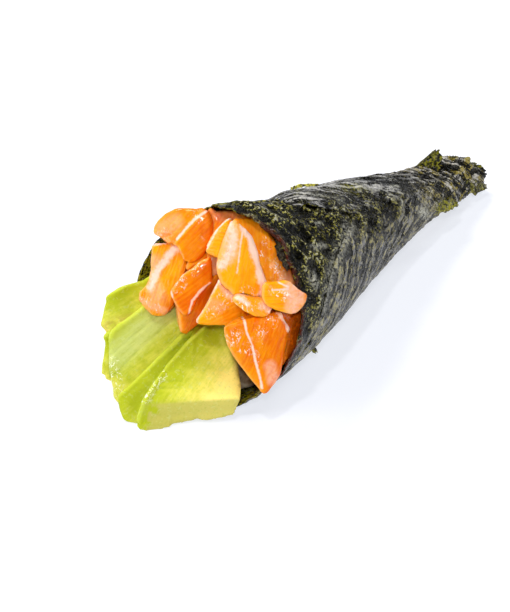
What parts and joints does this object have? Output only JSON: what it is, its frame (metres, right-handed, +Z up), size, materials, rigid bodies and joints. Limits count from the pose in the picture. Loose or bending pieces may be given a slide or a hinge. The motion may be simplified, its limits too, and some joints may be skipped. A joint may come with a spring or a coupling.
{
  "type": "salmon temaki hand roll",
  "caption": "Cone-shaped hand roll lying on its side: a sheet of nori wound round rice, with avocado slices and chunks of raw salmon fanned out of its mouth.",
  "frame": {"origin": "on the table under the middle of the bounding box", "axes": "+Z up; +Y along the roll from the filled mouth to the twisted tip; +X to the right as seen looking into the mouth"},
  "size_m": [0.0598, 0.1738, 0.055],
  "materials": {
    "nori": "dry pressed seaweed, dark green-black with a soft sheen and crumpled relief",
    "rice": "cooked short-grain rice, slightly sticky",
    "avocado": "moist avocado flesh, green at the outer edge and yellow further in",
    "salmon": "wet raw salmon, orange with thin pale bands of fat"
  },
  "bodies": {
    "root": {"nori_wrap": "nori", "rice": "rice", "avocado_slice_1": "avocado", "avocado_slice_2": "avocado", "avocado_slice_3": "avocado", "avocado_slice_4": "avocado", "avocado_slice_under": "avocado", "salmon_curl": "salmon", "salmon_fold": "salmon", "salmon_fold_flap": "salmon", "salmon_pale_end": "salmon", "salmon_low_wedge": "salmon", "salmon_kite": "salmon", "salmon_leaf": "salmon", "salmon_striped_chunk": "salmon", "salmon_under_leaf": "salmon", "salmon_corner_chunk": "salmon", "salmon_inner_left": "salmon", "salmon_right_slice": "salmon", "salmon_pale_back": "salmon", "salmon_heart": "salmon", "salmon_top_back": "salmon", "salmon_dark_edge": "salmon"}
  },
  "joints": []
}
